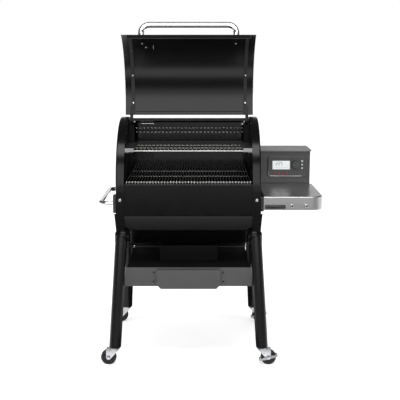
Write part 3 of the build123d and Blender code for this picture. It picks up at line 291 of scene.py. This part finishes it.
def zinc():
    """Zinc plate: bright, blotchy and slightly blue."""
    f = Finish("zinc_plate", metallic=1.0)
    spangle = f.cells(0.006)
    f.drive("Base Color", f.mix(f.remap(spangle, 0, 1, 0.1, 0.7), (0.60, 0.61, 0.63), (0.48, 0.49, 0.51)))
    f.drive("Roughness", f.remap(f.noise(0.008, 5), 0.14, 0.26))
    f.bump(f.noise(0.003, 2), 0.00001)
    return f.material


def brushed_stainless():
    """Stainless brushed along the shelf's length."""
    f = Finish("brushed_stainless", metallic=1.0)
    lines = f.noise(0.0012, 2, (80, 1, 1))
    f.drive("Base Color", f.mix(f.remap(lines, 0, 1), (0.47, 0.47, 0.475), (0.5, 0.5, 0.505)))
    f.drive("Roughness", f.remap(f.noise(0.15, 2), 0.27, 0.3))
    f.set("Anisotropic", 0.3)
    f.bump(lines, 0.000003)
    return f.material


def rubber():
    """Hard tread, dusty where it rolls."""
    f = Finish("wheel_rubber", specular=0.3)
    dust = f.noise(0.01, 6)
    f.drive("Base Color", f.mix(f.remap(dust, 0, 0.6), (0.007, 0.007, 0.0073), (0.028, 0.0275, 0.0265)))
    f.drive("Roughness", f.remap(dust, 0.45, 0.7))
    f.bump(f.noise(0.0008, 2), 0.00008)
    return f.material


def moulded(name, colour, roughness, depth=0.00005):
    """Moulded plastic with a fine spark-eroded grain."""
    f = Finish(name)
    f.drive("Base Color", f.mix(f.remap(f.noise(0.04, 3), 0, 0.4), colour, tuple(c * 1.6 for c in colour)))
    f.drive("Roughness", f.remap(f.noise(0.01, 4), roughness * 0.85, roughness * 1.15))
    f.bump(f.cells(0.0007), depth)
    return f.material


def lens_material():
    """Backlit display behind a clear lens: a pale glow, very slightly uneven."""
    f = Finish("display_lens", (0.42, 0.43, 0.44), 0.08)
    glow = f.remap(f.noise(0.03, 2), 0.86, 1.0)
    f.drive("Emission Color", f.mix(glow, (0.80, 0.84, 0.86), (0.93, 0.95, 0.96)))
    f.set("Emission Strength", 0.42)
    return f.material


def ink():
    """Grey liquid-crystal segments."""
    f = Finish("display_segments", roughness=0.35)
    f.drive("Base Color", f.mix(f.noise(0.01, 2), (0.03, 0.032, 0.034), (0.05, 0.052, 0.055)))
    return f.material


def circuit_green():
    """Green solder mask with copper runs under it."""
    f = Finish("circuit_board")
    runs = f.noise(0.003, 1, (1, 1, 6))
    f.drive("Base Color", f.mix(f.remap(runs, 0, 1, 0.5, 0.52), (0.012, 0.09, 0.03), (0.03, 0.17, 0.06)))
    f.drive("Roughness", f.remap(f.noise(0.005, 3), 0.25, 0.4))
    f.bump(runs, 0.00005)
    return f.material


def worn_steel():
    """Bare steel polished by pellets, with dark stains."""
    f = Finish("worn_steel", metallic=1.0)
    stain = f.noise(0.02, 6)
    f.drive("Base Color", f.mix(f.remap(stain, 0, 1), (0.45, 0.44, 0.43), (0.16, 0.13, 0.11)))
    f.drive("Roughness", f.remap(stain, 0.25, 0.55))
    f.bump(f.noise(0.002, 4), 0.00006)
    return f.material


finishes = {
    "black_enamel": black_enamel(),
    "lid_enamel": lid_enamel(),
    "inner_steel": chamber_enamel("inner_steel", 0.32, 0.00001),
    "wall_enamel": chamber_enamel("wall_enamel", 0.09, 0.00004),
    "shield_paint": dull_paint("shield_paint", (0.0022, 0.0022, 0.0024), 0.75),
    "controller_grey": moulded("controller_grey", (0.025, 0.0253, 0.026), 0.33, depth=0.00001),
    "button_grey": moulded("button_grey", (0.36, 0.365, 0.37), 0.3, depth=0.00001),
    "strap_paint": dull_paint("strap_paint", (0.017, 0.017, 0.0175), 0.5),
    "bracket_paint": dull_paint("bracket_paint", (0.003, 0.003, 0.0031), 0.6),
    "seam_black": dull_paint("seam_black", (0.002, 0.002, 0.002), 0.8),
    "hanger_steel": dull_steel("hanger_steel", (0.3, 0.3, 0.305)),
    "pedal_steel": dull_steel("pedal_steel", (0.34, 0.34, 0.35)),
    "screw_black": dull_steel("screw_black", (0.05, 0.05, 0.052)),
    # light grey of the funnel's lip: a painted light line
    "lip_grey_painted_light": dull_paint("lip_grey_painted_light", (0.07, 0.07, 0.072), 0.5),
    "leg_paint": powder_coat("leg_paint", (0.0035, 0.0036, 0.0038), 0.24, 0.24),
    "grey_paint": powder_coat("grey_paint", (0.043, 0.0434, 0.0445)),
    "hood_paint": powder_coat("hood_paint", (0.12, 0.121, 0.124)),
    "grate_steel": nickel_wire(),
    # grate and rack wires, darker behind their front edges: painted shade
    "grate_wire_painted_shade": nickel_wire("grate_wire_painted_shade", -0.284),
    "rack_wire_painted_shade": nickel_wire("rack_wire_painted_shade", -0.236),
    "bright_chrome": chrome(),
    "zinc": zinc(),
    "wheel_rubber": rubber(),
    "brushed_stainless": brushed_stainless(),
    "bracket_plastic": moulded("bracket_plastic", (0.012, 0.012, 0.0125), 0.5),
    "panel_gloss": moulded("panel_gloss", (0.012, 0.012, 0.0135), 0.24, depth=0.00001),
    "lens": lens_material(),
    "ink": ink(),
    "jack_red": moulded("jack_red", (0.22, 0.012, 0.012), 0.3, depth=0.00001),
    "board_green": circuit_green(),
    "auger_steel": worn_steel(),
}

slots = {part["node"]: part["material_slot"] for part in frame["record"]["subparts"]}
special = {
    "rack_hangers": "hanger_steel", "brake_front_right": "pedal_steel", "brake_rear_right": "pedal_steel",
    "main_grate": "grate_wire_painted_shade", "warming_rack": "rack_wire_painted_shade",
    "lid_shell": "lid_enamel", "lid_arms": "strap_paint", "rear_shell": "wall_enamel",
    "funnel_floor": "black_enamel", "hinge_brackets": "bracket_paint", "bottom_shield": "shield_paint",
    "controller_housing": "controller_grey", "control_panel": "controller_grey", "dial": "controller_grey",
    "button_1": "button_grey", "button_2": "button_grey", "button_3": "button_grey",
}

for name, node in frame["nodes"].items():
    node.data.materials.clear()
    node.data.materials.append(finishes[special.get(name, slots[name])])


# ---------------------------------------------------------------- mesh helpers
SHARP_ANGLE = radians(35)              # edges that turn more than this stay sharp


def linked(name, bm, material):
    """Object in the scene, made from a bmesh."""
    mesh = bpy.data.meshes.new(name)
    bm.to_mesh(mesh)
    bm.free()
    mesh.materials.append(material)
    made = bpy.data.objects.new(name, mesh)
    bpy.context.scene.collection.objects.link(made)
    return made


def piece(name, bm, finish, body):
    """Makes one piece from a bmesh, smooth but for its sharp edges, and lets it ride on its body."""
    bmesh.ops.recalc_face_normals(bm, faces=bm.faces)
    made = linked(name, bm, finishes[finish])
    made.data.shade_smooth()
    made.data.set_sharp_from_angle(angle=SHARP_ANGLE)
    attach(made, body)
    return made


def facing(point, direction, top=UP):
    """Placement at a point: local Z looks along the direction, local Y towards the top."""
    z = direction.normalized()
    y = (top - top.dot(z) * z).normalized()
    x = y.cross(z)
    rotation = Matrix((x, y, z)).transposed().to_4x4()
    return Matrix.Translation(point) @ rotation


def bridge(bm, rings):
    """Faces between one ring of points and the next; a ring of one point closes the end."""
    made = [[bm.verts.new(point) for point in ring] for ring in rings]
    for a, b in zip(made, made[1:]):
        count = max(len(a), len(b))
        for i in range(count):
            j = (i + 1) % count
            corners = [a[i % len(a)], a[j % len(a)], b[j % len(b)], b[i % len(b)]]
            bm.faces.new(list(dict.fromkeys(corners)))
    return made


def lathe(bm, place, profile, steps=40):
    """Turns (radius, height) points about the placement's Z."""
    rings = []
    for radius, height in profile:
        turns = [2 * pi * i / steps for i in range(steps)] if radius else [0]
        rings.append([place @ Vector((radius * cos(t), radius * sin(t), height)) for t in turns])
    bridge(bm, rings)


def rounded_rectangle(width, height, radius, steps=6):
    """Outline points of a rounded rectangle about the origin."""
    points = []
    for quarter, (sx, sy) in enumerate(((1, 1), (-1, 1), (-1, -1), (1, -1))):
        for i in range(steps + 1):
            t = pi / 2 * (quarter + i / steps)
            x = sx * (width / 2 - radius) + radius * cos(t)
            y = sy * (height / 2 - radius) + radius * sin(t)
            points.append((x, y))
    return points


def plate(bm, place, width, height, radius, depth, bevel):
    """Plate from local Z 0 to its depth, with a rounded front edge."""
    levels = ((0, 0), (0, depth - bevel), (0.3 * bevel, depth - 0.3 * bevel), (bevel, depth))
    rings = [
        [
            place @ Vector((x, y, z))
            for x, y in rounded_rectangle(width - 2 * inset, height - 2 * inset, max(radius - inset, 0.00005))
        ]
        for inset, z in levels
    ]
    made = bridge(bm, rings)
    bm.faces.new(made[0][::-1])
    bm.faces.new(made[-1])


def tube(bm, points, radius, closed=False, sides=10):
    """Round tube along points."""
    count = len(points)
    normal = None
    rings = []
    for i, point in enumerate(points):
        before = points[i - 1] if i or closed else point
        after = points[(i + 1) % count] if i < count - 1 or closed else point
        along = (after - before).normalized()
        if normal is None:
            normal = along.orthogonal()
        normal = (normal - normal.dot(along) * along).normalized()
        across = along.cross(normal)
        turns = [2 * pi * k / sides for k in range(sides)]
        rings.append([point + radius * (cos(t) * normal + sin(t) * across) for t in turns])
    if closed:
        rings.append(rings[0])
        made = bridge(bm, rings)
        bmesh.ops.remove_doubles(bm, verts=made[0] + made[-1], dist=1e-6)
        return
    made = bridge(bm, rings)
    bm.faces.new(made[0][::-1])
    bm.faces.new(made[-1])


def dome(bm, point, direction, radius, height, washer=0.0):
    """Domed screw head on a surface, with a washer under it where that is above 0."""
    lift = 0.0008 if washer else 0
    profile = [(0, 0)]
    if washer:
        profile += [(washer, 0), (washer, lift * 0.7), (washer - 0.0003, lift)]
    profile += [(radius, lift), (radius, lift + height * 0.35)]
    for i in range(1, 6):
        t = pi / 2 * i / 6
        profile.append((radius * cos(t), lift + height * (0.35 + 0.65 * sin(t))))
    profile.append((0, lift + height))
    lathe(bm, facing(point, direction, Vector((1, 0, 0))), profile, 28)


# ---------------------------------------------------------------- fine trim
def nameplate():
    """Blank badge on the shelf's apron: a raised rim round a plain field."""
    low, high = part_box("side_shelf")
    width, height = 0.1, 0.021
    place = facing(Vector((low.x + 0.056, low.y, low.z + 0.016)), FRONT)
    bm = bmesh.new()
    plate(bm, place, width, height, radius=0.003, depth=0.0012, bevel=0.0004)
    rim = [place @ Vector((x, y, 0.0013)) for x, y in rounded_rectangle(width - 0.003, height - 0.003, 0.002)]
    tube(bm, rim, 0.0006, closed=True, sides=8)
    piece("nameplate", bm, "panel_gloss", "chassis")


def panel_trim():
    """Raised ring round the control panel's edge, with a bright steel strip round its lower left corner and along
    its bottom: a painted highlight of the bezel's lower edge.
    """
    low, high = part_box("control_panel")
    place = facing(Vector(((low.x + high.x) / 2, low.y, (low.z + high.z) / 2)), FRONT)
    width, height = high.x - low.x - 0.007, high.z - low.z - 0.009
    steps = 12
    outline = rounded_rectangle(width, height, 0.0135, steps)
    bm = bmesh.new()
    tube(bm, [place @ Vector((x, y, 0)) for x, y in outline], 0.0016, closed=True, sides=12)
    piece("panel_ring", bm, "grey_paint", "chassis")

    # painted highlight: a bright steel strip only along the ring's bottom, where the bezel catches the light
    highlight_path = [place @ Vector((x, y, 0.0006)) for x, y in outline]
    corner, after = 2 * (steps + 1), 3 * (steps + 1)       # points where the two lower corners start
    end = 0.012
    path = [highlight_path[corner] + end * UP] + highlight_path[corner:after] + [highlight_path[after] - Vector((end, 0, 0))]
    bm = bmesh.new()
    tube(bm, path, 0.0027, sides=12)
    piece("panel_painted_highlight", bm, "hanger_steel", "chassis")


def floor_lip():
    """Folded lip along the lowest edge of the funnel; its light grey is painted light, standing in for the thin
    bright line along that edge.
    """
    low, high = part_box("funnel_floor")
    bm = bmesh.new()
    place = facing(Vector(((low.x + high.x) / 2, FUNNEL_Y, FUNNEL_Z)), FRONT)
    plate(bm, place, high.x - low.x - 0.03, 0.004, radius=0.0006, depth=0.002, bevel=0.0006)
    # painted light: the lip's light grey shows as the bright line along the funnel's edge
    piece("floor_lip", bm, "lip_grey_painted_light", "chassis")


# each segment's place in digit sizes, across and up, and whether it stands upright
SEGMENTS = {
    "a": (0, 1, 0), "b": (0.5, 0.5, 1), "c": (0.5, -0.5, 1), "d": (0, -1, 0),
    "e": (-0.5, -0.5, 1), "f": (-0.5, 0.5, 1), "g": (0, 0, 0),
}
DIGITS = {"2": "abged", "5": "afgcd"}


def display_digits(text="225"):
    """Seven-segment digits on the display, with a thin line under them."""
    low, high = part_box("display_lens")
    size, thick, raised, bevel = 0.0085, 0.002, 0.00012, 0.00003
    bm = bmesh.new()
    start = Vector((low.x + 0.0215, low.y, (low.z + high.z) / 2 + 0.0085))
    for i, digit in enumerate(text):
        for name in DIGITS[digit]:
            x, z, upright = SEGMENTS[name]
            point = start + Vector((i * size * 1.6 + x * size, 0, z * size))
            width, height = (thick, size * 0.8) if upright else (size * 0.8, thick)
            plate(bm, facing(point, FRONT), width, height, thick / 2, raised, bevel)
    point = Vector(((low.x + high.x) / 2, low.y, low.z + 0.009))
    plate(bm, facing(point, FRONT), 0.06, 0.0006, 0.0003, raised, bevel)
    piece("display_digits", bm, "ink", "chassis")


def vent_lips():
    """Turned-out lip at the top and bottom of each slot in the rear wall."""
    bm = bmesh.new()
    for i in range(VENTS):
        x = (i - (VENTS - 1) / 2) * VENT_PITCH
        for side in (-1, 1):
            place = facing(at(x, REAR_WALL_Y, VENT_Z + side * (VENT_H / 2 + 0.0004)), FRONT)
            plate(bm, place, VENT_W, 0.003, radius=0.0012, depth=0.0035, bevel=0.001)
    piece("vent_lips", bm, "grate_steel", "chassis")


def wall_ledge():
    """Small pressed ledge high on the rear wall."""
    bm = bmesh.new()
    place = facing(at(LEDGE_X, REAR_WALL_Y, LEDGE_Z), FRONT)
    plate(bm, place, 0.075, 0.006, radius=0.0029, depth=0.003, bevel=0.0012)
    piece("wall_ledge", bm, "grate_steel", "chassis")


def lid_studs():
    """Push nuts and a clip on the inside of the lid, near its front edge."""
    bm = bmesh.new()
    for x, angle, washer in ((-0.215, 155.8, 0.0055), (-0.232, 160.5, 0.005), (0.234, 160.5, 0.005)):
        point, inward = on_lid(x, angle, LID_INNER_R)
        dome(bm, point, inward, radius=0.0035, height=0.002, washer=washer)
    clip_x, clip_r = -0.177, LID_INNER_R - 0.001
    top, inward = on_lid(clip_x, 158.6, clip_r)
    foot, inward = on_lid(clip_x, 153.4, clip_r)
    tube(bm, [top, (top + foot) / 2 + 0.0012 * inward, foot], 0.0015)
    piece("lid_studs", bm, "zinc", "lid")


CASTER_TRAIL = 0.032                   # from the caster's stem out to its axle
RIBS = 6
# (radius, height) outlines about the stem
BALL_RACE = [
    (0, 0.084), (0.0235, 0.084), (0.0232, 0.0852), (0.0205, 0.0862), (0.0165, 0.0866),
    (0.0125, 0.0874), (0.008, 0.0876), (0, 0.0876),
]
KING_PIN = [
    (0, 0.0795), (0.0185, 0.0795), (0.0178, 0.0772), (0.0135, 0.0752), (0.009, 0.0745),
    (0.0085, 0.0715), (0.0065, 0.07), (0, 0.07),
]


def caster_trim(corner):
    """Ball race and king pin's head on a caster, ribs in its wheel's dishes, and the axle's nuts."""
    fork_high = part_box(f"fork_{corner}")[1]
    wheel_low, wheel_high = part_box(f"wheel_{corner}")
    axle = (wheel_low + wheel_high) / 2
    out = 1 if corner.endswith("right") else -1
    place = Matrix.Translation((axle.x - out * CASTER_TRAIL, axle.y, 0))
    bm = bmesh.new()
    lathe(bm, place, BALL_RACE)
    lathe(bm, place, KING_PIN)
    piece(f"race_{corner}", bm, "zinc", f"caster_{corner}")

    bm = bmesh.new()
    for side in (-1, 1):
        dish = facing(axle + Vector((0, side * 0.0078, 0)), Vector((0, side, 0)))
        for i in range(RIBS):
            place = dish @ Matrix.Rotation(2 * pi / RIBS * i, 4, "Z")
            outward = Matrix.Translation((0.0185, 0, 0))
            plate(bm, place @ outward, 0.0155, 0.003, radius=0.0008, depth=0.0028, bevel=0.0008)
    piece(f"wheel_ribs_{corner}", bm, "bracket_plastic", f"wheel_{corner}")

    bm = bmesh.new()
    for side in (-1, 1):
        point = axle + Vector((0, side * (fork_high.y - axle.y - 0.0002), 0))
        dome(bm, point, Vector((0, side, 0)), radius=0.0058, height=0.003, washer=0.008)
    piece(f"axle_nuts_{corner}", bm, "zinc", f"caster_{corner}")


def frame_bolts():
    """Domed bolts in place of the plain heads on the brackets, rear wall and crossbar."""
    bm = bmesh.new()
    for x in (-BRACKET_BOLT_X, BRACKET_BOLT_X):
        point = at(x, BRACKET_FACE_Y, BRACKET_BOLT_Z)
        dome(bm, point, FRONT, radius=0.0058, height=0.0036, washer=0.0078)
    point = at(WALL_BOLT_X, REAR_WALL_Y, WALL_BOLT_Z)
    dome(bm, point, FRONT, radius=0.0058, height=0.003, washer=0.008)
    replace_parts(piece("frame_bolt_heads", bm, "zinc", "chassis"), "frame_bolts")

    bar_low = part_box("front_crossbar")[0]
    bm = bmesh.new()
    for x in (-BAR_SCREW_X, BAR_SCREW_X):
        for z in BAR_SCREW_ZS:
            dome(bm, at(x, bar_low.y, z), FRONT, radius=0.0036, height=0.0016, washer=0.005)
    piece("crossbar_screws", bm, "screw_black", "chassis")


def lid_seam():
    """Dark seam beside the lid's doubled rear edge, and a dark strip on the underside of its front lip."""
    bm = bmesh.new()
    ends = [on_lid(x, SEAM_ANGLE, LID_INNER_R - 0.0006)[0] for x in (-SEAM_X, SEAM_X)]
    tube(bm, ends, 0.0013)
    underside, rearward = LID_TURN @ Vector((0, 0, -1)), LID_TURN @ Vector((0, 1, 0))
    strip = facing(opened(at(0, LIP_Y, LIP_Z)), underside, rearward)
    plate(bm, strip, 0.606, 0.0165, radius=0.002, depth=0.0007, bevel=0.0003)
    piece("lid_seam", bm, "seam_black", "lid")


nameplate()
panel_trim()
floor_lip()
display_digits()
vent_lips()
wall_ledge()
lid_studs()
lid_seam()
frame_bolts()
for corner in CORNERS:
    caster_trim(corner)

# ---------------------------------------------------------------- stage
centre = (cad_low + cad_high) / 2


def sheet(size, place):
    """Bmesh of one rectangle about the placement."""
    bm = bmesh.new()
    x, y = size[0] / 2, size[1] / 2
    bm.faces.new([bm.verts.new(place @ Vector(p)) for p in ((-x, -y, 0), (x, -y, 0), (x, y, 0), (-x, y, 0))])
    return bm


def shell(radius):
    """Bmesh of a sphere round everything."""
    bm = bmesh.new()
    bmesh.ops.create_uvsphere(bm, u_segments=48, v_segments=24, radius=radius)
    return bm


def glowing(name, colour, roughness, specular, strength):
    """Finish that also gives off an even white light."""
    f = Finish(name, colour, roughness, specular=specular)
    f.set("Emission Color", (1, 1, 1, 1))
    f.set("Emission Strength", strength)
    return f.material


def floor():
    """Wide pale floor just under the wheels, with a glow that keeps its shadows faint."""
    material = glowing("floor", (0.9, 0.9, 0.9), 0.9, 0.2, 0.3)
    made = linked("floor", sheet((60, 60), Matrix.Translation((0, 0, -0.0002))), material)


def reflected(bm, name, strength):
    """Surface that only reflections see, with an even glow."""
    made = linked(name, bm, glowing(name, (0, 0, 0), 1.0, 0.0, strength))
    for ray in ("camera", "diffuse", "transmission", "volume_scatter", "shadow"):
        setattr(made, f"visible_{ray}", False)


def floor_card(name, size, x, y, strength, height=0.002):
    """Card lying on the floor, for reflections alone."""
    reflected(sheet(size, Matrix.Translation((x, y, height))), name, strength)


def wall_panel(name, size, y, z, direction, strength):
    """Panel standing in front of or behind the object, for reflections alone."""
    place = facing(Vector((centre.x, y, z)), direction)
    reflected(sheet(size, place), name, strength)


def studio():
    """White surroundings, and the dark cards and bright panels that only reflections see."""
    world = bpy.data.worlds.new("studio")
    bpy.context.scene.world = world
    world.use_nodes = True
    background = world.node_tree.nodes["Background"]
    background.inputs["Color"].default_value = (1, 1, 1, 1)
    background.inputs["Strength"].default_value = 1.0
    reflected(shell(28), "surround", 0.13)
    floor_card("floor_card", (9, 4.4), centre.x, -2.8, 0.03)
    floor_card("under_card", (0.56, 1.6), BARREL_X, 0.2, 0.03)
    floor_card("floor_strip", (4.4, 0.8), centre.x, -1.5, 1.9, height=0.004)
    wall_panel("front_box", (6, 3.7), -4.9, 2.8, -FRONT, 2.8)
    wall_panel("rear_glow", (14, 5.2), 12, 2.6, FRONT, 0.8)


def softbox(name, place, target, size, power, mirrored=True):
    """Rectangular area light that looks at a point; reflections see it where it is mirrored."""
    light = bpy.data.lights.new(name, "AREA")
    light.shape = "RECTANGLE"
    light.size, light.size_y = size
    light.energy = power
    made = bpy.data.objects.new(name, light)
    bpy.context.scene.collection.objects.link(made)
    made.location = place
    made.rotation_euler = (Vector(target) - Vector(place)).to_track_quat("-Z", "Y").to_euler()
    made.visible_camera = False
    made.visible_glossy = mirrored


def lights():
    """Broad light from above and in front, and a soft one on either side."""
    softbox("top_box", (centre.x, -1.3, 3.3), (centre.x, 0.1, 1.1), (2.6, 1.0), power=50)
    for side, x in (("left", -3.0), ("right", 3.0)):
        softbox(f"{side}_box", (x, -1.4, 1.9), (centre.x, 0, 0.9), (1.0, 2.4), power=30, mirrored=False)


def camera():
    """Straight from the front, a little above the grill, looking slightly down."""
    data = bpy.data.cameras.new("camera")
    data.sensor_width = 36
    data.lens = 71.2
    made = bpy.data.objects.new("camera", data)
    bpy.context.scene.collection.objects.link(made)
    made.location = at(0.056, -4.067, 1.470)
    made.rotation_euler = (radians(90 - 10.1), 0, 0)
    bpy.context.scene.camera = made


floor()
studio()
lights()
camera()
bpy.context.scene.view_settings.view_transform = "Standard"
